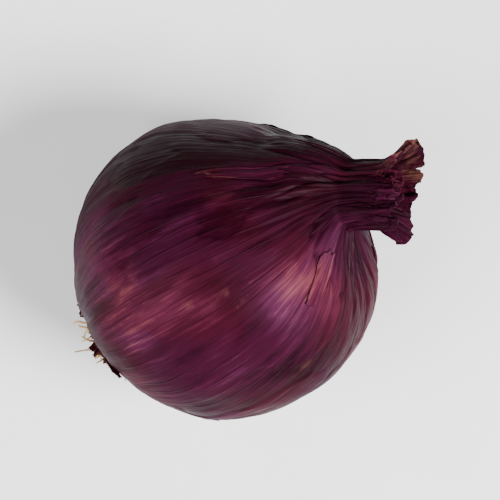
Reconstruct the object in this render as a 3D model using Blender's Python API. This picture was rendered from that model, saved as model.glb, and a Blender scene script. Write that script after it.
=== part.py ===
"""A red pearl onion lying on its side.

Two solids: the bulb with its neck and torn neck scales, and the corky root plate with its dried roots.

The onion is built about its own axis and then laid down. A point of it is given by how far it lies
along the axis from the widest ring (towards the neck is positive), how far out it is, and its angle
round the axis: 0 is the +Y side, a quarter turn is the upper side. The axis is straight through the
bulb and curves to -Y in the neck.
"""

import math
import random

import bmesh
import bpy
from mathutils import Matrix, Vector

# Driving dimensions, in metres and radians.
BULB_RADIUS = 0.0164
ROOT_HALF = 0.0158  # the widest ring back to the root end
NECK_RADIUS = 0.0043
NECK_END = 0.0213  # where the whole neck ends and the torn scales begin
AXIS_TILT = math.radians(28)  # the neck points up by this much
NECK_BEND = math.radians(28)  # and sideways by this much
BEND_START = 0.0135
BEND_END = 0.0195
REST_HEIGHT = 0.0157  # the centre of the widest ring above the flat spot
REST_SHIFT = 0.0002  # the origin, ahead of that ring's centre

# The shoulders, on the inner side of the neck's bend and on the outer: how far ahead of the widest
# ring they would close without a neck, how full they are (0.5 is an ellipse, more is leaner), and how
# sharply they meet the neck.
INNER_SHOULDER = (0.0173, 0.55, 7.0)
OUTER_SHOULDER = (0.0189, 0.79, 3.0)
ROOT_FULLNESS = 0.49
NECK_FADE = 0.0070  # the neck's share of the outline grows from the widest ring to here

# Waves round the axis: height, how often they go round, and phase. The bulb isn't quite round, by a
# share of its radius, and long folds run from root to neck, deeper in the neck.
UNROUND = ((0.011, 1, 0.9), (0.009, 2, 2.5), (0.005, 3, 3.6))
FOLDS = ((0.5, 7, 0.4), (0.3, 11, 1.9), (0.2, 16, 4.1))
BODY_FOLD = 0.00013
NECK_FOLD = 0.00034
FOLD_START = 0.0090
FOLD_FULL = 0.0190

# The dimple at the root end, and the plate in it.
DIMPLE_RADIUS = 0.0046
DIMPLE_DEPTH = 0.0011
PLATE_GAP = 0.0003
PLATE_RADIUS = 0.0042
PLATE_RISE = 0.0009  # how far the plate's middle stands out of the bulb's end
DIMPLE_SHARES = (0.25, 0.5, 0.72, 0.88)  # of the dimple's radius: where its rings lie
PLATE_BACK_SHARES = (0.3, 0.6, 0.85, 1.0)
PLATE_FACE_SHARES = (0.94, 0.75, 0.5, 0.25)

# Torn scales at the end of the neck: angle of the middle, half width, length and flare.
OUTER_SCALES = (
    (math.radians(15), math.radians(44), 0.0038, 0.0021),
    (math.radians(84), math.radians(31), 0.0030, 0.0006),
    (math.radians(133), math.radians(24), 0.0022, 0.0012),
    (math.radians(184), math.radians(29), 0.0034, 0.0023),
    (math.radians(243), math.radians(33), 0.0026, 0.0008),
    (math.radians(304), math.radians(29), 0.0035, 0.0014),
)
INNER_SCALES = (
    (math.radians(30), math.radians(50), 0.0022, 0.0003),
    (math.radians(128), math.radians(46), 0.0032, 0.0002),
    (math.radians(222), math.radians(50), 0.0018, 0.0004),
    (math.radians(300), math.radians(40), 0.0028, 0.0003),
)
TORN_STEEPNESS = 1.9  # of a scale's sides: 1 is a plain point
TORN_JAGS = ((0.17, 11, 0.6), (0.17, 17, 3.0))  # waves of a torn edge, as a share of its length
TORN_CURL = 1.6  # how late along a scale its flare sets in: 1 is a straight cone
SCALE_WALL = 0.0006
SCALE_STUB = 0.0005  # what is left of the wall between two torn scales
MOUTH_DEPTH = 0.0009  # the groove between outer and inner scales, below the neck's end
BUNDLE_RADIUS = 0.0024
BUNDLE_PIT = 0.0005

# Dried roots on the plate.
ROOT_SEED = 7
ROOT_RINGS = ((5, 0.0009), (9, 0.0021), (13, 0.0031))  # how many roots, and how far out
ROOT_RADIUS = 0.00036
ROOT_LENGTHS = (0.0016, 0.0034)
ROOT_DROOP = 0.0007  # how far a root's end hangs down
ROOT_SIDES = 5
ROOT_STEPS = 4
ROOT_SUNK = 0.0004
ROOT_TAPER = 0.45  # how much thinner a root is at its end
ROOT_SPLAY = math.radians(46)  # how far the outermost roots lean out from the axis
ROOT_CURLS = (math.radians(-28), math.radians(40))  # how much a root's lean changes along it
ROOT_SWINGS = (math.radians(-28), math.radians(28))  # how much it turns round the axis

MERIDIANS = 66
ROOT_RING_COUNT = 11
SHOULDER_RING_COUNT = 15
NECK_RING_COUNT = 4
TIP_STEPS = 3

SKIN_COLOUR = (0.150, 0.018, 0.045, 1.0)
ROOT_COLOUR = (0.420, 0.250, 0.100, 1.0)


def smooth_step(low, high, value):
    """0 below low, 1 above high, and a smooth rise between them."""
    share = min(max((value - low) / (high - low), 0.0), 1.0)
    return share * share * (3 - 2 * share)


def outline_radius(along, angle):
    """Bulb and neck as one smooth outline."""
    if along < 0:
        return BULB_RADIUS * (1 - (along / ROOT_HALF) ** 2) ** ROOT_FULLNESS
    outer = (1 + math.cos(angle)) / 2
    half, fullness, sharpness = (a + (b - a) * outer for a, b in zip(INNER_SHOULDER, OUTER_SHOULDER))
    bulb = BULB_RADIUS * max(1 - (along / half) ** 2, 0.0) ** fullness
    neck = NECK_RADIUS * smooth_step(0.0, NECK_FADE, along)
    return (bulb**sharpness + neck**sharpness) ** (1 / sharpness)


def waves(angle, parts):
    """A sum of waves round the axis. Each has its height, how often it goes round, and its phase."""
    return sum(height * math.sin(times * angle + phase) for height, times, phase in parts)


def skin_radius(along, angle):
    """How far out the skin is, with its folds."""
    outline = outline_radius(along, angle)
    body = outline / BULB_RADIUS
    depth = BODY_FOLD * body + NECK_FOLD * smooth_step(FOLD_START, FOLD_FULL, along)
    return outline * (1 + waves(angle, UNROUND) * body) + depth * waves(angle, FOLDS)


def torn_scale(angle, scales):
    """Length and flare of the torn scales at this angle: flaps with steep sides and jagged tips."""
    length, flare = SCALE_STUB, 0.0
    jags = 1 + waves(angle, TORN_JAGS)
    for middle, half_width, full_length, full_flare in scales:
        away = abs(math.remainder(angle - middle, math.tau)) / half_width
        if away < 1:
            shape = min(TORN_STEEPNESS * (1 - away), 1.0)
            length = max(length, SCALE_STUB + (full_length - SCALE_STUB) * shape * jags)
            flare = max(flare, full_flare * shape)
    return length, flare


def on_axis(along):
    """The axis at this point: its place, and the direction that was +Y before the bend."""
    bend_length = BEND_END - BEND_START
    bend_radius = bend_length / NECK_BEND
    turned = NECK_BEND * min(max((along - BEND_START) / bend_length, 0.0), 1.0)
    straight = min(along, BEND_START)
    beyond = max(along - BEND_END, 0.0)
    ahead = straight + bend_radius * math.sin(turned) + beyond * math.cos(turned)
    aside = -bend_radius * (1 - math.cos(turned)) - beyond * math.sin(turned)
    return Vector((ahead, aside, 0)), Vector((math.sin(turned), math.cos(turned), 0))


def laid_down():
    """Turns the onion from its own axis along +X to how it rests, with its flat spot at the origin."""
    centre = Vector((-REST_SHIFT, 0, REST_HEIGHT))
    return Matrix.Translation(centre) @ Matrix.Rotation(-AXIS_TILT, 4, "Y")


def point(along, out, angle):
    """A point of the onion, in the part's frame."""
    place, side = on_axis(along)
    return laid_down() @ (place + out * (math.cos(angle) * side + math.sin(angle) * Vector((0, 0, 1))))


def angles():
    """The angles of a ring's points."""
    return [math.tau * i / MERIDIANS for i in range(MERIDIANS)]


def dimple_floor(out):
    """How far the root end is pressed in at this distance from the axis."""
    share = min(out / DIMPLE_RADIUS, 1.0)
    return DIMPLE_DEPTH * (1 - share * share) ** 2


def root_end():
    """Where the bulb's outline meets the dimple's edge, along the axis."""
    return -ROOT_HALF * math.sqrt(1 - (DIMPLE_RADIUS / BULB_RADIUS) ** (1 / ROOT_FULLNESS))


def bulb_rings():
    """The bulb's rings from the root end to the middle of the neck's mouth. A ring is a list of points."""
    rings = []
    edge = root_end()
    for share in DIMPLE_SHARES:
        out = DIMPLE_RADIUS * share
        rings.append([point(edge + dimple_floor(out), out, a) for a in angles()])

    first = math.acos(-edge / ROOT_HALF)
    for i in range(ROOT_RING_COUNT):
        along = -ROOT_HALF * math.cos(first + (math.pi / 2 - first) * i / ROOT_RING_COUNT)
        rings.append([point(along, skin_radius(along, a), a) for a in angles()])
    for i in range(SHOULDER_RING_COUNT):
        along = INNER_SHOULDER[0] * math.sin(math.pi / 2 * i / SHOULDER_RING_COUNT)
        rings.append([point(along, skin_radius(along, a), a) for a in angles()])
    for i in range(NECK_RING_COUNT):
        along = INNER_SHOULDER[0] + (NECK_END - INNER_SHOULDER[0]) * i / NECK_RING_COUNT
        rings.append([point(along, skin_radius(along, a), a) for a in angles()])

    rings += scale_wall(OUTER_SCALES, lambda a: skin_radius(NECK_END, a))
    groove = NECK_END - MOUTH_DEPTH
    rings.append([point(groove, skin_radius(groove, a) - SCALE_WALL, a) for a in angles()])
    rings.append([point(groove, bundle_radius(a), a) for a in angles()])
    rings += scale_wall(INNER_SCALES, bundle_radius)
    rings.append([point(NECK_END + BUNDLE_PIT, BUNDLE_RADIUS / 3, a) for a in angles()])
    return rings


def bundle_radius(angle):
    """The inner scales' outer side."""
    return BUNDLE_RADIUS + NECK_FOLD * waves(angle, FOLDS)


def scale_wall(scales, foot_radius):
    """The rings of a wall of torn scales: up its outer side from foot to tips, and down its inner side."""
    outer, inner = [], []
    for i in range(TIP_STEPS + 1):
        share = i / TIP_STEPS
        for rings, wall in ((outer, 0.0), (inner, SCALE_WALL)):
            ring = []
            for angle in angles():
                length, flare = torn_scale(angle, scales)
                out = foot_radius(angle) - wall + flare * share**TORN_CURL
                ring.append(point(NECK_END + length * share, out, angle))
            rings.append(ring)
    return outer + inner[::-1]


def skin_over(mesh, rings, first_centre, last_centre):
    """Faces from ring to ring, closed at both ends by a fan."""
    layers = [[mesh.verts.new(p) for p in ring] for ring in rings]
    for lower, upper in zip(layers, layers[1:]):
        for i in range(len(lower)):
            j = (i + 1) % len(lower)
            mesh.faces.new((lower[i], lower[j], upper[j], upper[i]))
    for ring, centre in ((layers[0], first_centre), (layers[-1], last_centre)):
        tip = mesh.verts.new(centre)
        for i in range(len(ring)):
            mesh.faces.new((ring[(i + 1) % len(ring)], ring[i], tip))
    bmesh.ops.recalc_face_normals(mesh, faces=mesh.faces)


def cut_flat(mesh):
    """Takes off what would lie below the surface that the onion rests on, which leaves its flat spot."""
    cut = bmesh.ops.bisect_plane(
        mesh,
        geom=mesh.verts[:] + mesh.edges[:] + mesh.faces[:],
        plane_co=(0, 0, 0),
        plane_no=(0, 0, -1),
        clear_outer=True,
    )
    rim = [g for g in cut["geom_cut"] if isinstance(g, bmesh.types.BMEdge)]
    bmesh.ops.holes_fill(mesh, edges=rim, sides=0)
    bmesh.ops.recalc_face_normals(mesh, faces=mesh.faces)


def material(name, colour, roughness):
    made = bpy.data.materials.new(name)
    made.use_nodes = True
    shader = made.node_tree.nodes["Principled BSDF"]
    shader.inputs["Base Color"].default_value = colour
    shader.inputs["Roughness"].default_value = roughness
    shader.inputs["Metallic"].default_value = 0.0
    return made


def solid(name, mesh, finish):
    """Puts a bmesh into the scene as one named object."""
    data = bpy.data.meshes.new(name)
    mesh.to_mesh(data)
    mesh.free()
    data.shade_smooth()
    data.materials.append(finish)
    made = bpy.data.objects.new(name, data)
    bpy.context.scene.collection.objects.link(made)
    return made


def make_bulb(finish):
    mesh = bmesh.new()
    skin_over(
        mesh,
        bulb_rings(),
        point(root_end() + dimple_floor(0.0), 0.0, 0.0),
        point(NECK_END + BUNDLE_PIT / 2, 0.0, 0.0),
    )
    cut_flat(mesh)
    bulb = solid("bulb", mesh, finish)
    bulb.data.set_sharp_from_angle(angle=math.radians(50))
    return bulb


def plate_face(out):
    """The outer face of the root plate, along the axis."""
    share = out / PLATE_RADIUS
    return root_end() - PLATE_GAP - PLATE_RISE * (1 - share * share)


def plate_back(out):
    """The plate's back, which follows the dimple at a small gap."""
    return root_end() + dimple_floor(out) - PLATE_GAP


def make_plate(finish):
    """The corky plate, which fills the dimple and bulges out of it."""
    rings = []
    for side, shares in ((plate_back, PLATE_BACK_SHARES), (plate_face, PLATE_FACE_SHARES)):
        for share in shares:
            out = PLATE_RADIUS * share
            rings.append([point(side(out), out, a) for a in angles()[::2]])
    mesh = bmesh.new()
    skin_over(mesh, rings, point(plate_back(0.0), 0.0, 0.0), point(plate_face(0.0), 0.0, 0.0))
    return solid("root_plate", mesh, finish)


def root_path(out, angle, draw):
    """Points along one root, from inside the plate outwards, with a slow curl."""
    length = draw.uniform(*ROOT_LENGTHS)
    splay = ROOT_SPLAY * (0.2 + 0.8 * out / PLATE_RADIUS) + draw.uniform(-0.15, 0.15)
    curl = draw.uniform(*ROOT_CURLS)
    swing = draw.uniform(*ROOT_SWINGS)
    along = plate_face(out) + ROOT_SUNK
    path = []
    step = (length + ROOT_SUNK) / ROOT_STEPS
    for i in range(ROOT_STEPS + 1):
        share = i / ROOT_STEPS
        path.append(point(along, out, angle) - Vector((0, 0, ROOT_DROOP * share * share)))
        lean = splay * min(2 * share, 1.0) + curl * share
        along -= step * math.cos(lean)
        out += step * math.sin(lean)
        angle += swing * step / max(out, ROOT_RADIUS) * share
    return path


def make_root(number, path, finish):
    """One dried root: a thin tapering stalk of few sides."""
    mesh = bmesh.new()
    rings = []
    for i, place in enumerate(path):
        share = i / (len(path) - 1)
        ahead = (path[min(i + 1, len(path) - 1)] - path[max(i - 1, 0)]).normalized()
        side = ahead.orthogonal().normalized()
        other = ahead.cross(side)
        thick = ROOT_RADIUS * (1 - ROOT_TAPER * share)
        spokes = [math.tau * k / ROOT_SIDES for k in range(ROOT_SIDES)]
        rings.append([place + thick * (math.cos(s) * side + math.sin(s) * other) for s in spokes])
    skin_over(mesh, rings, path[0], path[-1])
    return solid(f"root_{number}", mesh, finish)


def make_root_plate(finish):
    """The plate with its roots grown into it: one solid."""
    plate = make_plate(finish)
    draw = random.Random(ROOT_SEED)
    roots = bpy.data.collections.new("roots")
    number = 0
    for count, out in ROOT_RINGS:
        turn = draw.uniform(0, math.tau)
        for i in range(count):
            angle = turn + math.tau * (i + draw.uniform(-0.25, 0.25)) / count
            root = make_root(number, root_path(out * draw.uniform(0.9, 1.1), angle, draw), finish)
            bpy.context.scene.collection.objects.unlink(root)
            roots.objects.link(root)
            number += 1
    join = plate.modifiers.new("grow_roots", "BOOLEAN")
    join.operation = "UNION"
    join.solver = "MANIFOLD"
    join.operand_type = "COLLECTION"
    join.collection = roots
    graph = bpy.context.evaluated_depsgraph_get()
    joined = bpy.data.meshes.new_from_object(plate.evaluated_get(graph))
    plate.modifiers.clear()
    plate.data = joined
    for root in list(roots.objects):
        bpy.data.objects.remove(root)
    bpy.data.collections.remove(roots)
    return plate


def main():
    for old in list(bpy.data.objects):
        bpy.data.objects.remove(old)
    make_bulb(material("onion_skin", SKIN_COLOUR, 0.35))
    make_root_plate(material("dried_root", ROOT_COLOUR, 0.85))


main()
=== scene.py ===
import math
import random

import bpy
import numpy as np
from bpy.props import FloatProperty, FloatVectorProperty, IntProperty, PointerProperty
from bpy.types import Operator, Panel, PropertyGroup
from mathutils import Matrix, Vector, noise


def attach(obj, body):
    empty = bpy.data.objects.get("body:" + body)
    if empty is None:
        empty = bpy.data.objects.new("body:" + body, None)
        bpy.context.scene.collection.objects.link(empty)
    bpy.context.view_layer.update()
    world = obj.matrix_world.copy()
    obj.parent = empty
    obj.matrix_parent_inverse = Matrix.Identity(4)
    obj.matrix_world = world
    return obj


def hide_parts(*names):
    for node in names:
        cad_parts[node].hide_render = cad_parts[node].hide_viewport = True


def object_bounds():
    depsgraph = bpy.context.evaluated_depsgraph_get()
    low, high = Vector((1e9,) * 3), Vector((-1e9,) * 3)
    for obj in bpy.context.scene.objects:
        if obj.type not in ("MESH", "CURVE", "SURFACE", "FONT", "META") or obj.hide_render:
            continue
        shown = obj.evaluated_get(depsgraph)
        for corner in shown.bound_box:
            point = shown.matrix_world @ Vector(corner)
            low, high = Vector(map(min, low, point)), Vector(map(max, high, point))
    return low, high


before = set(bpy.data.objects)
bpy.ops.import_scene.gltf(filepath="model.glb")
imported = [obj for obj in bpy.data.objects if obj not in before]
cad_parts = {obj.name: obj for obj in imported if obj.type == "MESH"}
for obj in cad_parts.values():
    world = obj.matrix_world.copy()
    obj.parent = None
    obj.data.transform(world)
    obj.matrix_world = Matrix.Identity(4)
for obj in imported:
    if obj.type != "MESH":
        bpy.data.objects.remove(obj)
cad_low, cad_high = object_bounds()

bl_info = {
    "name": "Red pearl onion",
    "version": (1, 0, 0),
    "blender": (4, 5, 0),
    "location": "3D View > Sidebar > Onion",
    "description": "Dresses the packed pearl onion with skin, torn neck scales, loose skin and roots",
    "category": "Object",
}


def in_radians(rows, columns=(0,)):
    """A table with these of its columns in degrees, with those in radians."""
    return tuple(tuple(math.radians(v) if i in columns else v for i, v in enumerate(row)) for row in rows)


# The form of the solids, here and there brought a little closer to the picture, in metres and radians. A
# point lies so far along the onion's axis from the widest ring (towards the neck is positive), so far out
# from it, and at an angle round it.
BULB_RADIUS = 0.0164
ROOT_HALF = 0.0158
NECK_RADIUS = 0.0035
NECK_END = 0.0213
AXIS_TILT = math.radians(28)
NECK_BEND = math.radians(28)
BEND_START = 0.0120
BEND_END = 0.0210
NECK_SHIFT = 0.0005  # how far the neck stands aside of the axis
NECK_SHIFT_END = 0.0180
NECK_SLANT = 0.0010  # how far its end is set back on one side
SLANT_START = 0.0160
SLANT_HIGH_SIDE = math.radians(20)
REST_HEIGHT = 0.0157
REST_SHIFT = 0.0002
# The two sides of the shoulder: half length, roundness, fullness, and how sharply it meets the neck.
INNER_SHOULDER = (0.0168, 2.5, 0.62, 3.4)
OUTER_SHOULDER = (0.0189, 1.7, 0.79, 2.8)
ROOT_FULLNESS = 0.49
NECK_FADE = 0.0070
# Waves round the axis: height, how often they go round, and phase.
UNROUND = ((0.011, 1, 0.9), (0.009, 2, 2.5), (0.005, 3, 3.6))
FOLDS = ((0.5, 7, 0.4), (0.3, 11, 1.9), (0.2, 16, 4.1))
BODY_FOLD = 0.00013  # height of the folds on the body, and what the neck adds to it
NECK_FOLD = 0.00034
FOLD_START = 0.0090
FOLD_FULL = 0.0190
DIMPLE_RADIUS = 0.0046
DIMPLE_DEPTH = 0.0011
PLATE_GAP = 0.0003
PLATE_RADIUS = 0.0042
PLATE_RISE = 0.0009
# Torn scales at the end of the neck: middle, half width (both in degrees), length and flare.
OUTER_SCALES = in_radians((
    (354, 40, 0.0042, 0.0023),
    (80, 40, 0.0031, -0.0006),
    (138, 28, 0.0031, -0.0001),
    (203, 32, 0.0030, 0.0024),
    (250, 28, 0.0030, 0.0006),
    (304, 36, 0.0042, 0.0007),
), (0, 1))
INNER_SCALES = in_radians((
    (30, 50, 0.0018, 0.0003),
    (128, 46, 0.0016, -0.0003),
    (222, 50, 0.0010, 0.0001),
    (300, 40, 0.0018, 0.0001),
), (0, 1))
TORN_CURL = 1.6  # how late along a scale its flare sets in
TORN_STUB = 0.0009  # what is left between two torn scales
TORN_NOTCHES = 8
SHEET = 0.00010  # how thick dry skin is at a torn edge
# Crumpled scales inside the neck: size against the neck's, seed, turn, extra length, and how they narrow.
NESTED_SCALES = (
    (0.86, 5, 0.0, 0.0003, 0.16),
    (0.71, 8, 1.1, 0.0008, 0.38),
    (0.56, 13, 2.3, 0.0008, 0.55),
    (0.40, 21, 4.0, 0.0010, 0.66),
)
MOUTH_FOOT = 0.0011  # how deep below the neck's end they start
MOUTH_LEAN = 3.4  # the side that they lean to

# Broad patches of the skin, partly its own tone and partly painted light and shade: middle (degrees, along),
# half sizes the same way, and how much paler they are.
TONE_AND_PAINTED_LIGHT = in_radians((
    (114, 0.0112, 22, 0.0046, 0.15),
    # painted light: the middle left made paler than its own reddish tone, where the lamps leave it dim
    (67, -0.0052, 26, 0.0058, 1.60),
    (84, 0.0018, 14, 0.0042, 0.20),
    # partly painted reflection: paler at the right, out to the rim
    (137, 0.0124, 19, 0.0042, 0.95),
    (106, 0.0068, 26, 0.0025, -0.75),
    # partly painted shade: the upper side darker than its own dark tone
    (32, 0.0070, 44, 0.0100, -0.80),
    # painted shade: darker at the upper left
    (22, -0.0030, 26, 0.0080, -0.70),
    # painted shade: darker at the lower right, where the key lamp falls
    (150, 0.0070, 20, 0.0050, -0.50),
    (215, 0.0040, 22, 0.0060, 0.70),
    (262, 0.0090, 18, 0.0050, 0.55),
    (300, -0.0040, 26, 0.0070, -0.55),
    (345, 0.0010, 15, 0.0080, 0.45),
), (0, 2))
# Rusty spots: middle, half sizes, strength.
RUST = in_radians((
    (98, 0.0027, 6, 0.0015, 0.35),
    (103, 0.0074, 7, 0.0026, 0.42),
    (58, 0.0102, 5, 0.0030, 0.25),
    (150, 0.0060, 5, 0.0022, 0.32),
    (205, -0.0060, 8, 0.0024, 0.8),
    (322, 0.0070, 6, 0.0030, 0.7),
    (20, -0.0090, 9, 0.0022, 0.7),
), (0, 2))
BROWNED_SIDE = math.radians(336)  # where the torn edge is brownest

# Loose scraps of the dry skin: middle (degrees, along), half length, half width, lift, and which end lifts.
FLAKES = in_radians((
    (131, 0.0134, 0.0030, 0.0010, 0.00016, -1),
    (46, 0.0118, 0.0046, 0.0008, 0.00018, -1),
    (238, 0.0090, 0.0062, 0.0030, 0.00040, -1),
    (322, 0.0112, 0.0042, 0.0010, 0.00018, -1),
    (222, 0.0006, 0.0046, 0.0009, 0.00018, 1),
    (112, -0.0132, 0.0021, 0.0013, 0.00022, 1),
    (172, -0.0116, 0.0036, 0.0021, 0.00030, 1),
    (16, -0.0130, 0.0022, 0.0011, 0.00025, 1),
    (300, -0.0108, 0.0042, 0.0015, 0.00030, 1),
))
FLAKE_HALF = 0.00003  # half the thickness of a scrap

# How finely the pieces are meshed.
AROUND = 352
DIMPLE_RINGS = 12
ROOT_SIDE_RINGS = 62
SHOULDER_RINGS = 88
NECK_RINGS = 28
TORN_RINGS = 30
MOUTH_RINGS = 8
FLAKE_SECTORS = 120
FLAKE_RINGS = 16

# What the skin's vertices carry for its material.
CARRIED = ("grain", "dry_layer", "crease_shade", "shade", "rust")

ROOT_SUNK = 0.0004  # how far a root starts inside the plate
ROOT_STEPS = 14
ROOT_SIDES = 7
NEXT_ROOT = math.radians(137.5)  # the turn from one root to the next, which spreads them evenly

# Studio lights: name, place from the onion (right and up in the picture, and above), size and watts.
LIGHTS = (("key", 0.33, -0.14, 0.38, 0.26, 9.8), ("fill", -0.38, -0.20, 0.40, 0.45, 6.4))


class OnionSkinLook(PropertyGroup):
    """Relief and colours of the bulb's skin."""

    vein_height: FloatProperty(
        name="Vein height", description="Relief of the fine veins", default=0.00004, unit="LENGTH"
    )
    neck_wrinkle: FloatProperty(
        name="Neck wrinkle", description="Depth of the sharp pleats at the neck", default=0.00042,
        unit="LENGTH",
    )
    dent: FloatProperty(
        name="Dent", description="Slow unevenness of the whole skin", default=0.00030, unit="LENGTH"
    )
    tunic: FloatProperty(
        name="Dry layer", description="Thickness of the outermost dry layer", default=0.00010, unit="LENGTH"
    )
    veins: IntProperty(
        name="Veins", description="Half the number of veins round the bulb", default=37, min=1
    )
    deep: FloatVectorProperty(
        name="Deep", description="Darkest skin", default=(0.0105, 0.0008, 0.0040), subtype="COLOR", max=1
    )
    maroon: FloatVectorProperty(
        name="Maroon", description="Usual skin", default=(0.024, 0.0021, 0.0105), subtype="COLOR", max=1
    )
    mauve: FloatVectorProperty(
        name="Mauve", description="Pale skin", default=(0.050, 0.0073, 0.0285), subtype="COLOR", max=1
    )
    papery: FloatVectorProperty(
        name="Papery", description="Palest dry skin", default=(0.120, 0.035, 0.055), subtype="COLOR", max=1
    )
    rusty: FloatVectorProperty(
        name="Rusty", description="Brown of torn edges and spots", default=(0.078, 0.028, 0.022),
        subtype="COLOR", max=1,
    )


class OnionRootLook(PropertyGroup):
    """Number, size and colours of the dried roots."""

    count: IntProperty(name="Roots", description="How many roots", default=120, min=1)
    seed: IntProperty(name="Seed", description="Which draw of roots", default=11)
    thickness: FloatProperty(
        name="Thickness", description="Radius of a root at its foot", default=0.00018, unit="LENGTH"
    )
    shortest: FloatProperty(name="Shortest", description="Shortest root", default=0.0016, unit="LENGTH")
    longest: FloatProperty(name="Longest", description="Longest root", default=0.0040, unit="LENGTH")
    droop: FloatProperty(name="Droop", description="How strongly long roots sag", default=0.22)
    straw: FloatVectorProperty(
        name="Straw", description="Dry root", default=(0.52, 0.34, 0.15), subtype="COLOR", max=1
    )
    bark: FloatVectorProperty(
        name="Bark", description="Brown parts", default=(0.16, 0.075, 0.032), subtype="COLOR", max=1
    )


class OnionStudio(PropertyGroup):
    """Floor, lights and camera."""

    camera_distance: FloatProperty(
        name="Distance", description="Camera to onion", default=0.42, unit="LENGTH"
    )
    camera_height: FloatProperty(
        name="Elevation", description="Camera above the floor", default=math.radians(90), subtype="ANGLE"
    )
    camera_roll: FloatProperty(
        name="Roll", description="How far the neck points up in the picture", default=math.radians(30),
        subtype="ANGLE",
    )
    lens: FloatProperty(name="Lens", description="Focal length in millimetres", default=280.0)
    floor: FloatVectorProperty(
        name="Floor", description="Floor colour", default=(0.80, 0.80, 0.81), subtype="COLOR", max=1
    )


def smooth_step(low, high, value):
    """0 below low, 1 above high, and a smooth rise between them."""
    share = np.clip((value - low) / (high - low), 0.0, 1.0)
    return share * share * (3 - 2 * share)


def waves(angle, parts):
    """A sum of waves round the axis. Each has its height, how often it goes round, and its phase."""
    return sum(height * np.sin(times * angle + phase) for height, times, phase in parts)


def outline_radius(along, angle):
    """Bulb and neck as one smooth outline."""
    rootward = BULB_RADIUS * np.clip(1 - (along / ROOT_HALF) ** 2, 0, None) ** ROOT_FULLNESS
    outer = (1 + np.cos(angle)) / 2
    pairs = zip(INNER_SHOULDER, OUTER_SHOULDER)
    half, roundness, fullness, sharpness = (inner + (far - inner) * outer for inner, far in pairs)
    bulb = BULB_RADIUS * np.clip(1 - (np.clip(along, 0, None) / half) ** roundness, 0, None) ** fullness
    neck = NECK_RADIUS * smooth_step(0.0, NECK_FADE, along)
    neckward = (bulb**sharpness + neck**sharpness) ** (1 / sharpness)
    return np.where(along < 0, rootward, neckward)


def skin_radius(along, angle):
    """How far out the skin is, with its folds."""
    outline = outline_radius(along, angle)
    body = outline / BULB_RADIUS
    depth = BODY_FOLD * body + NECK_FOLD * smooth_step(FOLD_START, FOLD_FULL, along)
    return outline * (1 + waves(angle, UNROUND) * body) + depth * waves(angle, FOLDS)


def bent_axis():
    """The neck's bend: places along the axis, its turn there, and how far ahead and aside it has gone."""
    steps = np.linspace(BEND_START, BEND_END, 200)
    turns = NECK_BEND * smooth_step(BEND_START, BEND_END, steps)
    middles = (turns[1:] + turns[:-1]) / 2
    gone_ahead = BEND_START + np.concatenate(([0.0], np.cumsum(np.cos(middles) * np.diff(steps))))
    gone_aside = -np.concatenate(([0.0], np.cumsum(np.sin(middles) * np.diff(steps))))
    return steps, turns, gone_ahead, gone_aside


BENT_AXIS = bent_axis()


def laid_down(along, out, angle):
    """The points in the frame's coordinates: the axis curves in the neck, and the bulb lies on its side."""
    steps, turns, gone_ahead, gone_aside = BENT_AXIS
    turned = np.interp(along, steps, turns)
    before = np.minimum(np.asarray(along) - BEND_START, 0.0)
    beyond = np.maximum(np.asarray(along) - BEND_END, 0.0)
    ahead = np.interp(along, steps, gone_ahead) + before + beyond * math.cos(NECK_BEND)
    aside = np.interp(along, steps, gone_aside) - beyond * math.sin(NECK_BEND)
    aside = aside + NECK_SHIFT * smooth_step(BEND_START, NECK_SHIFT_END, along)
    x = ahead + out * np.cos(angle) * np.sin(turned)
    y = aside + out * np.cos(angle) * np.cos(turned)
    z = out * np.sin(angle)
    tilt_cos, tilt_sin = math.cos(AXIS_TILT), math.sin(AXIS_TILT)
    lying = (tilt_cos * x - tilt_sin * z - REST_SHIFT, y, tilt_sin * x + tilt_cos * z + REST_HEIGHT)
    return np.stack(lying, -1)


def slanted(along, angle):
    """The neck is torn off at a slant: its end is set back on one side."""
    back = NECK_SLANT * (1 - np.cos(angle - SLANT_HIGH_SIDE)) / 2
    return along - back * smooth_step(SLANT_START, NECK_END, along)


def dimple_floor(out):
    """How far the root end is pressed in at this distance from the axis."""
    share = np.clip(out / DIMPLE_RADIUS, 0.0, 1.0)
    return DIMPLE_DEPTH * (1 - share * share) ** 2


def root_end():
    """Where the bulb's outline meets the dimple's edge, along the axis."""
    return -ROOT_HALF * math.sqrt(1 - (DIMPLE_RADIUS / BULB_RADIUS) ** (1 / ROOT_FULLNESS))


def noise_at(points, scale, octaves=3):
    """Cloudy noise, about -1 to 1, at each point of an array whose last axis is x, y, z."""
    flat = (np.asarray(points) * scale).reshape(-1, 3)
    values = [noise.fractal(Vector(p), 0.9, 2.0, octaves) for p in flat]
    return np.array(values).reshape(np.shape(points)[:-1])


def grain_points(angle, travel, stretch, offset=0.0):
    """Points whose noise runs in streaks from root to neck: round the axis, and slowly along it."""
    parts = np.broadcast_arrays(np.cos(angle) + offset, np.sin(angle) - offset, travel * stretch + offset)
    return np.stack(parts, -1)


def angle_between(angle, middle):
    """The signed turn from middle to angle, by the short way round."""
    return np.remainder(angle - middle + math.pi, math.tau) - math.pi


def normals_of(points):
    """Outward normals of a grid of points: first axis along the onion, second round it."""
    around = np.roll(points, -1, 1) - np.roll(points, 1, 1)
    onward = np.gradient(points, axis=0)
    normal = np.cross(around, onward)
    length = np.linalg.norm(normal, axis=-1, keepdims=True)
    return normal / np.maximum(length, 1e-12)


def travel_along(points):
    """How far each ring is from the first, along the skin, averaged round the ring."""
    steps = np.linalg.norm(np.diff(points, axis=0), axis=-1).mean(1)
    return np.concatenate(([0.0], np.cumsum(steps)))


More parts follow.
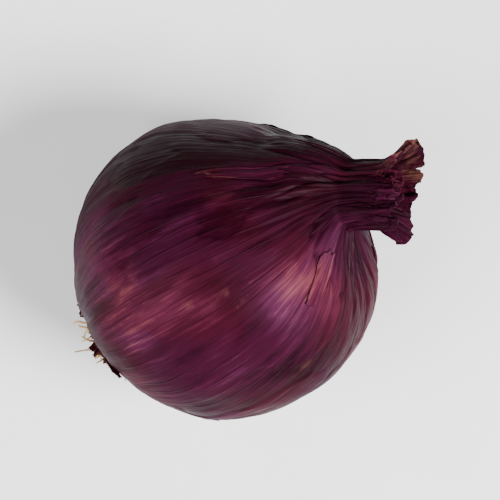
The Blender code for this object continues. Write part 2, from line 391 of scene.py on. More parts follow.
def tube_faces(rings, around, first_pole=None, last_pole=None, first_vertex=0):
    """Quads from ring to ring, with a fan to a pole vertex at either end."""
    faces = []
    for i in range(rings - 1):
        a, b = first_vertex + i * around, first_vertex + (i + 1) * around
        for j in range(around):
            k = (j + 1) % around
            faces.append((a + j, a + k, b + k, b + j))
    last = first_vertex + (rings - 1) * around
    for j in range(around):
        k = (j + 1) % around
        if first_pole is not None:
            faces.append((first_vertex + k, first_vertex + j, first_pole))
        if last_pole is not None:
            faces.append((last + j, last + k, last_pole))
    return faces


class Shells:
    """Closed shells gathered into one mesh, with the values their vertices carry."""

    def __init__(self):
        self.vertices, self.faces, self.carried = [], [], {}
        self.count = 0

    def add(self, grid, attributes, poles=None, ring=False):
        """One shell: rings of points, closed by a pole at either end, or last ring to first.
        A pole carries the mean of what its ring carries."""
        rows, around = grid.shape[:2]
        first = self.count
        block = grid.reshape(-1, 3)
        if ring:
            self.faces += tube_faces(rows, around, first_vertex=first)
            last = first + (rows - 1) * around
            for j in range(around):
                k = (j + 1) % around
                self.faces.append((last + j, last + k, first + k, first + j))
        else:
            pole = first + rows * around
            self.faces += tube_faces(rows, around, pole, pole + 1, first)
            block = np.concatenate((block, poles))
        for key, values in attributes.items():
            flat = values.reshape(rows * around, -1)
            if not ring:
                ends = np.stack([values[row].reshape(around, -1).mean(0) for row in (0, -1)])
                flat = np.concatenate((flat, ends))
            self.carried.setdefault(key, []).append(flat)
        self.vertices.append(block)
        self.count += len(block)

    def piece(self, name, finish, slot, replaced):
        carried = {key: np.squeeze(np.concatenate(parts)) for key, parts in self.carried.items()}
        return make_piece(name, np.concatenate(self.vertices), self.faces, finish, replaced, carried)


def make_piece(name, points, faces, finish, replaced, attributes):
    """A mesh object with smooth faces, which rides on the onion and replaces its plain solid."""
    mesh = bpy.data.meshes.new(name)
    mesh.from_pydata([tuple(p) for p in points], [], faces)
    mesh.update()
    mesh.shade_smooth()
    for key, values in attributes.items():
        values = np.asarray(values, dtype=np.float32)
        kind, field = ("FLOAT_VECTOR", "vector") if values.ndim == 2 else ("FLOAT", "value")
        mesh.attributes.new(key, kind, "POINT").data.foreach_set(field, values.ravel())
    mesh.materials.append(finish)
    piece = bpy.data.objects.new(name, mesh)
    bpy.context.scene.collection.objects.link(piece)
    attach(piece, "root")
    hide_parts(replaced)
    return piece


class Finish:
    """A node material, built step by step around its Principled shader."""

    def __init__(self, name, roughness):
        self.material = bpy.data.materials.new(name)
        self.material.use_nodes = True
        self.tree = self.material.node_tree
        self.shader = self.tree.nodes["Principled BSDF"]
        self.shader.inputs["Roughness"].default_value = roughness

    def plug(self, value, socket):
        """Links a node's output to the socket, or sets a plain value on it."""
        if isinstance(value, bpy.types.NodeSocket):
            self.tree.links.new(value, socket)
        else:
            socket.default_value = value

    def attribute(self, name, output="Vector"):
        """A value or vector that the mesh carries."""
        node = self.tree.nodes.new("ShaderNodeAttribute")
        node.attribute_name = name
        return node.outputs[output]

    def object_place(self):
        """Where the point is in the piece, in metres."""
        return self.tree.nodes.new("ShaderNodeTexCoord").outputs["Object"]

    def stretched(self, vector, scale, shift):
        """The vector with each part scaled, then moved."""
        node = self.tree.nodes.new("ShaderNodeMapping")
        self.plug(vector, node.inputs["Vector"])
        node.inputs["Scale"].default_value = scale
        node.inputs["Location"].default_value = shift
        return node.outputs["Vector"]

    def noise(self, vector, scale, detail=3.0, roughness=0.5, distortion=0.0):
        node = self.tree.nodes.new("ShaderNodeTexNoise")
        self.plug(vector, node.inputs["Vector"])
        node.inputs["Scale"].default_value = scale
        node.inputs["Detail"].default_value = detail
        node.inputs["Roughness"].default_value = roughness
        node.inputs["Distortion"].default_value = distortion
        return node.outputs["Fac"]

    def vein(self, grain, number):
        """Thin lines from root to neck, evenly spread round the axis but wavering and fading."""
        parts = self.tree.nodes.new("ShaderNodeSeparateXYZ")
        self.plug(grain, parts.inputs[0])
        angle = self.math("ARCTAN2", parts.outputs["Y"], parts.outputs["X"])
        waver = self.noise(self.stretched(grain, (1, 1, 20), (4, 2, 6)), 3.0, 2, 0.5)
        phase = self.math("ADD", self.math("MULTIPLY", angle, number), self.math("MULTIPLY", waver, 5.0))
        line = self.math("ABSOLUTE", self.math("SINE", phase, 0.0), 0.0)
        line = self.spread(line, 0.0, 0.34, 1.0, 0.0)
        fade = self.noise(self.stretched(grain, (1, 1, 20), (8, 3, 1)), 7, 2, 0.5)
        return self.math("MULTIPLY", line, self.spread(fade, 0.38, 0.62, 0.15, 1.0))

    def spread(self, value, low, high, to_low=0.0, to_high=1.0):
        """Spreads low..high over to_low..to_high, smoothly and within its ends."""
        node = self.tree.nodes.new("ShaderNodeMapRange")
        node.interpolation_type = "SMOOTHSTEP"
        self.plug(value, node.inputs["Value"])
        for key, number in zip(("From Min", "From Max", "To Min", "To Max"), (low, high, to_low, to_high)):
            node.inputs[key].default_value = number
        return node.outputs["Result"]

    def math(self, operation, first, second):
        node = self.tree.nodes.new("ShaderNodeMath")
        node.operation = operation
        self.plug(first, node.inputs[0])
        self.plug(second, node.inputs[1])
        return node.outputs["Value"]

    def mix(self, factor, first, second, blend="MIX"):
        """Mixes two colours."""
        node = self.tree.nodes.new("ShaderNodeMix")
        node.data_type = "RGBA"
        node.blend_type = blend
        self.plug(factor, node.inputs[0])
        for colour, socket in ((first, node.inputs[6]), (second, node.inputs[7])):
            self.plug(colour if isinstance(colour, bpy.types.NodeSocket) else (*colour, 1.0), socket)
        return node.outputs[2]

    def bump(self, height, distance, normal=None):
        """Fine relief of this height in metres. One bump can stand on another's normal."""
        node = self.tree.nodes.new("ShaderNodeBump")
        node.inputs["Distance"].default_value = distance
        self.plug(height, node.inputs["Height"])
        if normal is not None:
            self.plug(normal, node.inputs["Normal"])
        return node.outputs["Normal"]

    def done(self, colour, normal, roughness=None):
        self.plug(colour, self.shader.inputs["Base Color"])
        self.plug(normal, self.shader.inputs["Normal"])
        if roughness is not None:
            self.plug(roughness, self.shader.inputs["Roughness"])
        return self.material


def skin_finish(look, name="onion_skin_glossy", gloss=0.40, paleness=0.0):
    """Dark skin: veins and streaks from root to neck, pale and rusty patches with painted light and shade
    among them, painted shade in the creases, a dry layer and fibres.
    """
    finish = Finish(name, gloss)
    finish.shader.inputs["Specular IOR Level"].default_value = 0.023
    grain = finish.attribute("grain")
    shade = finish.attribute("shade", "Fac")
    rust = finish.attribute("rust", "Fac")
    dry = finish.attribute("dry_layer", "Fac")
    crease_shade = finish.attribute("crease_shade", "Fac")
    place = finish.object_place()

    broad = finish.noise(finish.stretched(grain, (1, 1, 11), (3, 1, 2)), 5, 3, 0.55, 0.2)
    streak = finish.noise(finish.stretched(grain, (1, 1, 6), (2, 5, 8)), 19, 3, 0.6, 0.1)
    thread = finish.noise(finish.stretched(grain, (1, 1, 3), (1, 7, 4)), 62, 2, 0.6)
    blotch = finish.noise(place, 260, 4, 0.62, 0.3)
    speck = finish.noise(place, 2600, 2, 0.5)
    vein = finish.vein(grain, look.veins)

    # the carried shade brings the skin's own tone together with painted light and shade
    level = finish.math("ADD", finish.math("MULTIPLY", shade, 0.34), 0.33 + paleness)
    for value, weight in ((broad, 0.55), (streak, 0.85), (thread, 0.42), (blotch, 0.40)):
        lean = finish.math("MULTIPLY", finish.math("SUBTRACT", value, 0.5), weight)
        level = finish.math("ADD", level, lean)
    level = finish.math("ADD", level, finish.math("MULTIPLY", dry, 0.16))
    colour = finish.mix(finish.spread(level, 0.10, 0.46), tuple(look.deep), tuple(look.maroon))
    colour = finish.mix(finish.spread(level, 0.44, 0.82), colour, tuple(look.mauve))
    colour = finish.mix(finish.spread(level, 0.74, 1.12), colour, tuple(look.papery))
    fibre = finish.noise(finish.stretched(grain, (1, 1, 5), (6, 1, 3)), 44, 3, 0.7)
    pale_only = finish.spread(level, 0.50, 0.85, 0.0, 0.75)
    fibre = finish.math("MULTIPLY", finish.spread(fibre, 0.54, 0.70), pale_only)
    colour = finish.mix(fibre, colour, tuple(look.papery))

    warmth = finish.noise(finish.stretched(place, (1, 1, 1), (0.4, 0.1, 0.7)), 85, 2, 0.5, 0.4)
    colour = finish.mix(finish.spread(warmth, 0.40, 0.62), colour, (1.12, 0.95, 0.72), blend="MULTIPLY")

    rusty = finish.math("MULTIPLY", rust, finish.spread(blotch, 0.36, 0.60, 0.25, 1.5))
    rusty = finish.math("MULTIPLY", rusty, finish.spread(streak, 0.36, 0.58, 0.45, 1.2))
    colour = finish.mix(finish.spread(rusty, 0.22, 0.85, 0.0, 0.85), colour, tuple(look.rusty))
    colour = finish.mix(finish.math("MULTIPLY", vein, 0.42), colour, tuple(look.deep))
    # painted shade: pleats, the inside of the neck's mouth and the feet of the inner scales darkened
    colour = finish.mix(finish.spread(crease_shade, 0.1, 1.0, 0.0, 0.8), colour, tuple(look.deep))
    colour = finish.mix(finish.spread(speck, 0.66, 0.76, 0.0, 0.35), colour, tuple(look.deep))

    normal = finish.bump(thread, 0.00004)
    normal = finish.bump(streak, 0.00010, normal=normal)
    normal = finish.bump(vein, 0.00005, normal=normal)
    normal = finish.bump(blotch, 0.00004, normal=normal)
    rough = finish.spread(blotch, 0.35, 0.65, gloss - 0.04, gloss + 0.08)
    rough = finish.math("ADD", rough, finish.math("MULTIPLY", dry, 0.10))
    rough = finish.math("ADD", rough, finish.math("MULTIPLY", rust, 0.22))
    return finish.done(colour, normal, rough)


def root_finish(look, name, straw_from):
    """Dry root: straw above this share of the noise, and brown bark below it."""
    finish = Finish(name, 0.8)
    finish.shader.inputs["Specular IOR Level"].default_value = 0.25
    place = finish.object_place()
    patch = finish.noise(place, 520, 3, 0.6)
    fine = finish.noise(place, 2600, 2, 0.6)
    straw = finish.spread(patch, straw_from, straw_from + 0.25)
    colour = finish.mix(straw, tuple(look.bark), tuple(look.straw))
    colour = finish.mix(finish.spread(fine, 0.45, 0.75, 0.0, 0.6), colour, tuple(look.bark))
    return finish.done(colour, finish.bump(fine, 0.00008))


def dry_layer_mask(angle, travel):
    """1 where the outermost dry layer is still on the bulb, 0 in its torn windows, a narrow rise between."""
    broad = noise_at(grain_points(angle, travel, 22, 3.7), 2.3, 3)
    ragged = noise_at(grain_points(angle, travel, 14, 1.3), 11.0, 3)
    return smooth_step(-0.03, 0.03, broad + 0.12 * ragged + 0.16)


def patchiness(angle, along, patches):
    """The sum of soft patches, drawn out from root to neck."""
    total = np.zeros(np.broadcast(angle, along).shape)
    for middle, middle_along, half_width, half_length, strength in patches:
        aside = angle_between(angle, middle) / half_width
        onward = (along - middle_along) / half_length
        total = total + strength * np.exp(-(aside**2) - onward**2)
    return total


def skin_relief(look, angle, travel, along, place):
    """Height of the skin's relief in metres, and how deep each point lies in a pleat, from 0 to 1, for
    painted shade there.
    """
    slow = noise_at(place, 110, 2)
    veins = 1 - np.abs(noise_at(grain_points(angle, travel, 10), 7.5, 3)) * 3.2
    pleats = np.abs(noise_at(grain_points(angle, travel, 26, 5.1), 3.1, 3)) * 2.4
    near_neck = smooth_step(0.0080, 0.0180, along)
    near_root = smooth_step(-0.0105, -0.0150, along)
    height = look.dent * slow
    height = height + look.vein_height * np.clip(veins, -1, 1)
    height = height - look.neck_wrinkle * (1 - np.clip(pleats, 0, 1)) ** 2 * (near_neck + 0.35 * near_root)
    crease_shade = (1 - np.clip(pleats, 0, 1)) ** 2 * np.maximum(near_neck, 0.5 * near_root)
    return height, crease_shade


def torn_outline(angle, scales, seed):
    """Length and flare of a torn edge at each angle: flaps with steep sides, notches and ragged tips."""
    length = np.full_like(angle, TORN_STUB)
    flare = np.zeros_like(angle)
    ring = np.stack((np.cos(angle), np.sin(angle), np.full_like(angle, seed * 1.7)), -1)
    jags = 0.94 + 0.18 * noise_at(ring, 2.6, 2) + 0.12 * noise_at(ring, 7.0, 3)
    for middle, half_width, full_length, full_flare in scales:
        away = np.abs(angle_between(angle, middle)) / half_width
        shape = np.clip(1 - away**2, 0.0, 1.0) ** 0.45
        length = np.maximum(length, TORN_STUB + (full_length - TORN_STUB) * shape * jags)
        flare = flare + full_flare * shape
    draw = random.Random(seed)
    for _ in range(TORN_NOTCHES):
        middle = draw.uniform(0, math.tau)
        half_width = math.radians(draw.uniform(1.5, 5.0))
        depth = draw.uniform(0.10, 0.55)
        away = np.abs(angle_between(angle, middle)) / half_width
        length = length * (1 - depth * np.clip(1 - away, 0, 1))
    return length, flare


def rest_on_floor(points):
    """The lowest points lie flat on the floor."""
    points[..., 2] = np.maximum(points[..., 2], 0.0)
    return points


def skin_grid(look):
    """The skin's outer side: rings of points from the dimple to the torn tips, and what each carries."""
    turn = np.linspace(0, math.tau, AROUND, endpoint=False)
    out = DIMPLE_RADIUS * np.linspace(0.06, 0.96, DIMPLE_RINGS)
    dimple_along = root_end() + dimple_floor(out)
    first = math.acos(-root_end() / ROOT_HALF)
    root_along = -ROOT_HALF * np.cos(np.linspace(first, math.pi / 2, ROOT_SIDE_RINGS, endpoint=False))
    steep = math.radians(75)
    shoulder_end = INNER_SHOULDER[0] * math.sin(steep)
    shoulder_along = INNER_SHOULDER[0] * np.sin(np.linspace(0, steep, SHOULDER_RINGS, endpoint=False))
    neck_along = np.linspace(shoulder_end, NECK_END, NECK_RINGS, endpoint=False)

    whole = np.concatenate((root_along, shoulder_along, neck_along))
    along, angle = np.meshgrid(np.concatenate((dimple_along, whole)), turn, indexing="ij")
    radius = np.concatenate(
        (np.repeat(out[:, None], AROUND, 1), skin_radius(along[DIMPLE_RINGS:], angle[DIMPLE_RINGS:]))
    )
    length, flare = torn_outline(turn, OUTER_SCALES, seed=3)
    share = np.linspace(0, 1, TORN_RINGS)[:, None]
    ripple = 0.00022 * share * noise_at(grain_points(turn[None], share * 0.004, 200, 8.1), 4.0, 3)
    foot = skin_radius(np.full(AROUND, NECK_END), turn)
    along = np.concatenate((along, NECK_END + length * share))
    angle = np.concatenate((angle, np.repeat(turn[None], TORN_RINGS, 0)))
    radius = np.concatenate((radius, foot + flare * share**TORN_CURL + ripple))

    points = laid_down(slanted(along, angle), radius, angle)
    travel = np.repeat(travel_along(points)[:, None], AROUND, 1)
    height, crease_shade = skin_relief(look, angle, travel, along, points)
    dry = dry_layer_mask(angle, travel) * smooth_step(-0.0158, -0.0140, along)
    points = points + normals_of(points) * (height + look.tunic * dry)[..., None]

    torn = np.zeros_like(along)
    torn[-TORN_RINGS:] = share
    shade = 0.75 * noise_at(grain_points(angle, travel, 34, 2.2), 2.0, 3)
    # the broad patches add painted light and shade to the skin's own tone
    shade = shade + patchiness(angle, along, TONE_AND_PAINTED_LIGHT)
    shade = shade - 0.55 * smooth_step(0.0120, 0.0175, along) + 0.35 * torn
    browned = 0.15 + 0.85 * np.exp(-((angle_between(angle, BROWNED_SIDE) / 1.0) ** 2))
    rust = patchiness(angle, along, RUST) + browned * torn * (0.8 + noise_at(points, 300, 3))
    return {
        "points": points,
        "travel": travel,
        "along": along,
        "grain": grain_points(angle, travel, 1.0),
        "dry_layer": dry,
        "crease_shade": crease_shade,
        "shade": np.clip(shade, -1.2, 1.5),
        "rust": np.clip(rust, 0, 1.2),
    }


def torn_wall(points, normals, rows, thin, thick):
    """The inner side of a torn sheet: the same rows, moved inwards by a wall that thickens downwards."""
    depth = np.linspace(0, 1, len(rows))[:, None, None]
    return points[rows] - normals[rows] * (thin + (thick - thin) * smooth_step(0.3, 1.0, depth))


class ONION_OT_skin(Operator):
    """Make the bulb's skin, from the dimple at the root to the torn outer scales of the neck"""

    bl_idname = "onion.skin"
    bl_label = "Bulb skin"

    def execute(self, context):
        look = context.scene.onion_skin
        grid = skin_grid(look)
        outside = grid["points"]
        inner_rows = np.arange(len(outside) - 1, len(outside) - TORN_RINGS - MOUTH_RINGS, -1)
        inside = torn_wall(outside, normals_of(outside), inner_rows, SHEET, 0.00065)
        surface = rest_on_floor(np.concatenate((outside, inside)))
        carried = {key: np.concatenate((grid[key], grid[key][inner_rows])) for key in CARRIED}
        # painted shade: the inside of the neck's mouth darkened
        carried["crease_shade"][-MOUTH_RINGS:] = 0.6
        poles = np.array((laid_down(root_end() + DIMPLE_DEPTH, 0.0, 0.0), surface[-1].mean(0)))
        shells = Shells()
        shells.add(surface, carried, poles)
        shells.piece("bulb_skin", skin_finish(look), "onion_skin", "bulb")
        return {"FINISHED"}


class ONION_OT_neck_scales(Operator):
    """Make the dry inner scales that stand crumpled inside the torn neck"""

    bl_idname = "onion.neck_scales"
    bl_label = "Inner neck scales"

    def execute(self, context):
        look = context.scene.onion_skin
        shells = Shells()
        for scale in NESTED_SCALES:
            self.add_scale(shells, *scale)
        self.add_bud(shells)
        finish = skin_finish(look, "onion_scale_papery", gloss=0.5, paleness=0.04)
        shells.piece("neck_scales", finish, "onion_skin", "bulb")
        return {"FINISHED"}

    def add_scale(self, shells, share, seed, turn_by, more, taper):
        """One crumpled papery tube, torn at the top and drawn in over the ones inside it."""
        around, rings = 200, 34
        turn = np.linspace(0, math.tau, around, endpoint=False)
        scales = [(at + turn_by, half, long + more, flare) for at, half, long, flare in INNER_SCALES]
        length, flare = torn_outline(turn, scales, seed)
        foot = skin_radius(np.full(around, NECK_END), turn) - 0.0002
        up = np.linspace(0, 1, rings)[:, None]
        along = NECK_END - MOUTH_FOOT * (1 - up) + length * up
        own = noise_at(grain_points(turn[None], up * 0.004, 160, seed * 0.9), 6.0, 3)
        pressed = noise_at(grain_points(turn[None], up * 0.004, 110, 6.3), 3.4, 3)
        folds = 0.06 * own + 0.20 * pressed
        aside = (NESTED_SCALES[0][0] - share) * 0.0009 * np.cos(turn - MOUTH_LEAN)
        radius = foot * share * (1 + folds * (0.4 + 0.6 * up)) * (1 - taper * up) + aside
        radius = radius + flare * (1 - taper) * up**TORN_CURL
        angle = np.repeat(turn[None], rings, 0)
        outer = laid_down(slanted(along, angle), radius, angle)
        inner = torn_wall(outer, normals_of(outer), np.arange(rings - 1, -1, -1), SHEET, 0.00014)
        both = np.concatenate((outer, inner))
        up = np.repeat(np.concatenate((up, up[::-1])), around, 1)
        angle = np.concatenate((angle, angle))
        carried = {
            "grain": grain_points(angle, up * 0.004 + seed, 1.0),
            "dry_layer": np.ones_like(up),
            # painted shade: the nested scales darker towards their feet, down inside the neck
            "crease_shade": 0.55 * (1 - smooth_step(0.0, 0.5, up)),
            "shade": 0.7 * noise_at(both, 260, 3) + 0.4 * up,
            "rust": np.clip(0.9 * up**1.5 * (0.6 + noise_at(both, 420, 3)), 0, 1.2),
        }
        shells.add(both, carried, ring=True)

    def add_bud(self, shells):
        """The shrivelled middle of the neck."""
        around, rings = 90, 30
        turn = np.linspace(0, math.tau, around, endpoint=False)
        up = np.linspace(0, 1, rings)[:, None]
        along = np.repeat(NECK_END - MOUTH_FOOT + 0.0034 * up, around, 1)
        ring = grain_points(turn[None] + 2.2 * up, up * 0.004, 200, 4.4)
        folds = 0.30 * noise_at(ring, 2.4, 3)
        radius = 0.00080 * np.sqrt(np.clip(1.02 - up**2.0, 0, 1)) * (1 + folds)
        radius = radius + 0.00040 * np.cos(turn - MOUTH_LEAN)
        angle = np.repeat(turn[None], rings, 0)
        points = laid_down(along, radius, angle)
        up = np.repeat(up, around, 1)
        carried = {
            "grain": grain_points(angle, up * 0.004, 1.0),
            "dry_layer": np.ones_like(up),
            # painted shade: the bud darker towards its foot, deep in the neck
            "crease_shade": 0.6 * (1 - smooth_step(0.1, 0.7, up)),
            "shade": 0.1 + 0.7 * noise_at(points, 300, 3),
            "rust": 0.8 * up,
        }
        shells.add(points, carried, np.stack((points[0].mean(0), points[-1].mean(0))))


class ONION_OT_flakes(Operator):
    """Make the loose scraps of dry skin on the shoulder, on the body and round the root end"""

    bl_idname = "onion.flakes"
    bl_label = "Loose skin"

    def execute(self, context):
        look = context.scene.onion_skin
        grid = skin_grid(look)
        shells = Shells()
        for seed, flake in enumerate(FLAKES):
            self.add_flake(shells, grid, seed, *flake)
        self.add_collar(shells)
        finish = skin_finish(look, "onion_flake_papery", gloss=0.46, paleness=0.07)
        shells.piece("skin_flakes", finish, "onion_skin", "bulb")
        return {"FINISHED"}

    def on_skin(self, values, rows, columns):
        """The grid's values between its points."""
        rows = np.clip(rows, 0, len(values) - 1.001)
        row, column = np.floor(rows).astype(int), np.floor(columns).astype(int)
        down, right = rows - row, columns - column
        if values.ndim == 3:
            down, right = down[..., None], right[..., None]
        near, far = column % AROUND, (column + 1) % AROUND
        upper = values[row, near] * (1 - right) + values[row, far] * right
        lower = values[row + 1, near] * (1 - right) + values[row + 1, far] * right
        return upper * (1 - down) + lower * down

    def add_flake(self, shells, grid, seed, middle, middle_along, half_length, half_width, lift, lifted_end):
        """A thin scrap with a ragged edge, which hugs the skin and curls away from it at one end."""
        turn = np.linspace(0, math.tau, FLAKE_SECTORS, endpoint=False)[None]
        share = (np.arange(1, FLAKE_RINGS + 1) / FLAKE_RINGS)[:, None]
        squared = (np.abs(np.cos(turn)) ** 4 + np.abs(np.sin(turn)) ** 4) ** -0.25 * share
        onward, sideways = np.cos(turn) * squared, np.sin(turn) * squared
        fringe = np.stack((sideways, np.sign(onward) * 3 + seed, np.full_like(onward, seed * 2.9)), -1)
        torn = 0.34 * noise_at(fringe, 1.3, 2) + 0.20 * noise_at(fringe, 5.0, 3)
        bank = np.stack((onward, np.sign(sideways) * 3 + seed, np.full_like(onward, seed * 1.7)), -1)
        forward = half_length * onward * (1 + torn)
        aside = half_width * sideways * (1 + 0.30 * noise_at(bank, 1.4, 2))
        aside = aside * (1 - 0.3 * lifted_end * onward)

        along_rows, travel_rows = grid["along"][:, 0], grid["travel"][:, 0]
        body = slice(DIMPLE_RINGS, len(along_rows) - TORN_RINGS)
        middle_travel = np.interp(middle_along, along_rows[body], travel_rows[body])
        rows = np.interp(middle_travel + forward, travel_rows, np.arange(len(travel_rows)))
        out = np.interp(rows, np.arange(len(along_rows)), outline_radius(along_rows, middle))
        columns = (middle + aside / np.maximum(out, 0.003)) / math.tau * AROUND
        base = self.on_skin(grid["points"], rows, columns)
        normal = self.on_skin(normals_of(grid["points"]), rows, columns)

        up = smooth_step(0.1, 1.1, lifted_end * onward)
        ripple = noise_at(np.stack((forward, aside, np.full_like(aside, seed)), -1), 700, 3)
        height = 0.00008 + lift * up**1.5 * (1 + 0.35 * ripple) + 0.00006 * share**4 * (1 + ripple)
        middle_sheet = base + normal * height[..., None]
        over, under = middle_sheet + normal * FLAKE_HALF, middle_sheet - normal * FLAKE_HALF
        both = rest_on_floor(np.concatenate((over, under[::-1])))
        one_side = {
            "grain": self.on_skin(grid["grain"], rows, columns),
            "dry_layer": np.ones_like(aside),
            "crease_shade": np.zeros_like(aside),
            "shade": self.on_skin(grid["shade"], rows, columns) * 0.7 + 0.15 * share**3,
            "rust": np.clip(0.35 * share**8 + 0.25 * up, 0, 1) * np.ones_like(aside),
        }
        carried = {key: np.concatenate((values, values[::-1])) for key, values in one_side.items()}
        poles = np.stack((over[0].mean(0), under[0].mean(0)))
        shells.add(both, carried, poles)

    def add_collar(self, shells):
        """The torn edge of the dry skin round the root plate."""
        around, rings = 300, 18
        turn = np.linspace(0, math.tau, around, endpoint=False)
        ring = np.stack((np.cos(turn), np.sin(turn), np.full_like(turn, 5.5)), -1)
        length = 0.00105 + 0.0007 * noise_at(ring, 2.5, 2) + 0.0007 * noise_at(ring, 11.0, 4)
        length = np.clip(length, 0.00025, 0.0022)
        onward = np.linspace(0, 1, rings)[:, None]
        hidden = 0.0003
        step = onward * (hidden + length)
        beyond = np.clip(step - hidden, 0, None)
        ripple = noise_at(grain_points(turn[None], step, 500, 2.9), 5.0, 3)
        radius = DIMPLE_RADIUS - 0.0003 + 0.0004 * np.minimum(step / hidden, 1)
        radius = radius + beyond * (0.05 + ripple * 0.35)
        along = root_end() + hidden - step
        angle = np.repeat(turn[None], rings, 0)
        outer = laid_down(along, radius, angle)[::-1]
        inner = torn_wall(outer, normals_of(outer), np.arange(rings - 1, -1, -1), 0.00007, 0.00007)
        both = rest_on_floor(np.concatenate((outer, inner)))
        level = np.repeat(np.concatenate((onward[::-1], onward)), around, 1)
        carried = {
            "grain": grain_points(np.concatenate((angle, angle)), level * 0.002, 1.0),
            "dry_layer": np.ones_like(level),
            "crease_shade": np.zeros_like(level),
            "shade": 0.5 * noise_at(both, 300, 3) - 0.2,
            "rust": np.clip(0.95 * level + 0.4 * noise_at(both, 500, 3), 0, 1.1),
        }
        shells.add(both, carried, ring=True)


def plate_face(out):
    """The outer face of the root plate, along the axis."""
    share = out / PLATE_RADIUS
    return root_end() - PLATE_GAP - PLATE_RISE * (1 - share * share)


def root_path(look, draw, out, angle):
    """Points along one dried root, from inside the plate outwards, with slow curls and a droop."""
    length = look.shortest + (look.longest - look.shortest) * draw.random() ** 1.8
    along = plate_face(out) + ROOT_SUNK
    lean = math.radians(6) + math.radians(50) * out / PLATE_RADIUS + draw.uniform(-0.15, 0.15)
    heading = angle + draw.uniform(-0.5, 0.5)
    start = Vector(laid_down(along, out, angle))
    axis = Vector(laid_down(-1.0, 0.0, 0.0) - laid_down(0.0, 0.0, 0.0)).normalized()
    side = Vector(laid_down(0.0, 1.0, heading) - laid_down(0.0, 0.0, heading)).normalized()
    direction = axis * math.cos(lean) + side * math.sin(lean)
    curl = Vector([draw.uniform(-1, 1) for _ in range(3)]) * draw.uniform(0.05, 0.24)
    path = [start]
    for _ in range(ROOT_STEPS):
        curl = curl + Vector([draw.uniform(-1, 1) for _ in range(3)]) * 0.10
        droop = Vector((0.0, 0.0, -look.droop * length / look.longest))
        direction = (direction + curl * 0.6 + droop).normalized()
        if direction.dot(axis) < 0.05:
            direction = (direction + axis * 0.3).normalized()
        path.append(path[-1] + direction * (length + ROOT_SUNK) / ROOT_STEPS)
        path[-1].z = max(path[-1].z, 2 * look.thickness)
    return path


def tube(path, radii, sides):
    """Rings of points round the path."""
    rings = []
    previous = (path[1] - path[0]).normalized().orthogonal().normalized()
    for i, place in enumerate(path):
        ahead = (path[min(i + 1, len(path) - 1)] - path[max(i - 1, 0)]).normalized()
        previous = (previous - ahead * previous.dot(ahead)).normalized()
        other = ahead.cross(previous)
        spokes = [math.tau * k / sides for k in range(sides)]
        rings.append([place + radii[i] * (math.cos(s) * previous + math.sin(s) * other) for s in spokes])
    return np.array(rings)


class ONION_OT_roots(Operator):
    """Make the corky root plate and its tuft of dried roots"""

    bl_idname = "onion.roots"
    bl_label = "Root plate and roots"

    def execute(self, context):
        look = context.scene.onion_roots
        self.make_plate(root_finish(look, "root_disc_bark", 0.48))
        self.make_roots(look, root_finish(look, "dry_root_straw", 0.34))
        return {"FINISHED"}

    def make_plate(self, finish):
        """The plate's rough face, and its back near the dimple's floor."""
        around = 144
        turn = np.linspace(0, math.tau, around, endpoint=False)
        back = PLATE_RADIUS * np.array((0.3, 0.6, 0.85, 0.97, 1.0))
        face = PLATE_RADIUS * np.linspace(0.99, 0.03, 40)
        back_along = root_end() + dimple_floor(back) - PLATE_GAP
        along, angle = np.meshgrid(np.concatenate((back_along, plate_face(face))), turn, indexing="ij")
        out = np.repeat(np.concatenate((back, face))[:, None], around, 1)
        points = laid_down(along, out, angle)
        rough = noise_at(points, 900, 4) * 0.00022 + np.abs(noise_at(points, 2400, 2)) * 0.00012
        rough[: len(back)] = 0
        points = points - normals_of(points) * rough[..., None]
        back_pole = laid_down(root_end() + DIMPLE_DEPTH - PLATE_GAP, 0.0, 0.0)
        poles = np.array((back_pole, points[-1].mean(0)))
        shells = Shells()
        shells.add(points[::-1], {}, poles[::-1])
        shells.piece("root_disc", finish, "dried_root", "root_plate")

    def make_roots(self, look, finish):
        """The tuft, spread evenly over the plate's face."""
        draw = random.Random(look.seed)
        shells = Shells()
        for i in range(look.count):
            out = PLATE_RADIUS * 0.90 * math.sqrt((i + 0.5) / look.count)
            angle = i * NEXT_ROOT + draw.uniform(-0.2, 0.2)
            path = root_path(look, draw, out, angle)
            thick = look.thickness * draw.uniform(0.65, 1.15)
            narrowing = [1 - 0.6 * k / ROOT_STEPS for k in range(ROOT_STEPS + 1)]
            radii = [thick * left * draw.uniform(0.85, 1.1) for left in narrowing]
            shells.add(tube(path, radii, ROOT_SIDES), {}, np.array((path[0], path[-1])))
        shells.piece("dry_roots", finish, "dried_root", "root_plate")


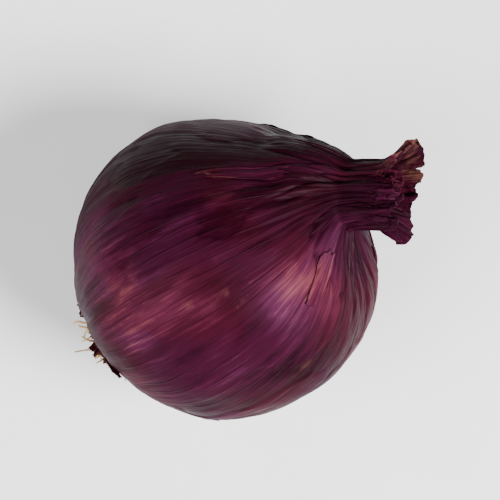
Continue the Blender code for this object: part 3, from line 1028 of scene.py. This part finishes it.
class ONION_OT_studio(Operator):
    """Make the pale floor, the soft lights and the camera"""

    bl_idname = "onion.studio"
    bl_label = "Studio"

    def execute(self, context):
        look = context.scene.onion_studio
        self.make_floor(look)
        middle = Vector([(a + b) / 2 for a, b in zip(cad_low, cad_high)])
        right = Vector((math.cos(look.camera_roll), -math.sin(look.camera_roll), 0))
        up = Vector((math.sin(look.camera_roll), math.cos(look.camera_roll), 0))
        self.make_camera(context, look, middle, right, up)
        for name, rightward, upward, above, size, power in LIGHTS:
            place = middle + right * rightward + up * upward + Vector((0, 0, above))
            self.make_light(name, place, middle, size, power)
        world = bpy.data.worlds.new("studio_air")
        world.use_nodes = True
        air = world.node_tree.nodes["Background"]
        air.inputs["Color"].default_value = (0.9, 0.92, 0.95, 1)
        air.inputs["Strength"].default_value = 0.10
        context.scene.world = world
        return {"FINISHED"}

    def make_floor(self, look):
        mesh = bpy.data.meshes.new("studio_floor")
        half = 1.5
        corners = [(-half, -half, 0), (half, -half, 0), (half, half, 0), (-half, half, 0)]
        mesh.from_pydata(corners, [], [(0, 1, 2, 3)])
        finish = Finish("pale_floor", 0.75)
        paper = finish.noise(finish.object_place(), 60, 2, 0.5)
        darker = tuple(c * 0.97 for c in look.floor)
        colour = finish.mix(finish.spread(paper, 0.3, 0.7), darker, tuple(look.floor))
        mesh.materials.append(finish.done(colour, finish.bump(paper, 0.00005)))
        floor = bpy.data.objects.new("studio_floor", mesh)
        bpy.context.scene.collection.objects.link(floor)

    def make_camera(self, context, look, middle, right, up):
        data = bpy.data.cameras.new("photo_camera")
        data.lens = look.lens
        data.clip_start = 0.01
        camera = bpy.data.objects.new("photo_camera", data)
        away = -up * math.cos(look.camera_height) + Vector((0, 0, math.sin(look.camera_height)))
        camera.location = middle + away * look.camera_distance
        camera.rotation_euler = Matrix((right, away.cross(right), away)).transposed().to_euler()
        context.scene.collection.objects.link(camera)
        context.scene.camera = camera

    def make_light(self, name, place, target, size, power):
        data = bpy.data.lights.new(name, "AREA")
        data.shape = "DISK"
        data.size = size
        data.energy = power
        light = bpy.data.objects.new(name, data)
        light.location = place
        light.rotation_euler = (target - place).to_track_quat("-Z", "Y").to_euler()
        bpy.context.scene.collection.objects.link(light)


class ONION_PT_panel(Panel):
    """Lists the onion's pieces and their looks"""

    bl_idname = "ONION_PT_panel"
    bl_label = "Pearl onion"
    bl_space_type = "VIEW_3D"
    bl_region_type = "UI"
    bl_category = "Onion"

    def draw(self, context):
        for group in ("onion_skin", "onion_roots", "onion_studio"):
            box = self.layout.box()
            settings = getattr(context.scene, group)
            for key in settings.__annotations__:
                box.prop(settings, key)
        for operator in OPERATORS:
            self.layout.operator(operator.bl_idname)


GROUPS = {"onion_skin": OnionSkinLook, "onion_roots": OnionRootLook, "onion_studio": OnionStudio}
OPERATORS = (ONION_OT_skin, ONION_OT_neck_scales, ONION_OT_flakes, ONION_OT_roots, ONION_OT_studio)


def register():
    for made in (*GROUPS.values(), *OPERATORS, ONION_PT_panel):
        bpy.utils.register_class(made)
    for key, group in GROUPS.items():
        setattr(bpy.types.Scene, key, PointerProperty(type=group))


def unregister():
    for key in GROUPS:
        delattr(bpy.types.Scene, key)
    for made in reversed((*GROUPS.values(), *OPERATORS, ONION_PT_panel)):
        bpy.utils.unregister_class(made)


def main():
    register()
    bpy.ops.onion.skin()
    bpy.ops.onion.neck_scales()
    bpy.ops.onion.flakes()
    bpy.ops.onion.roots()
    bpy.ops.onion.studio()


if __name__ == "__main__":
    main()
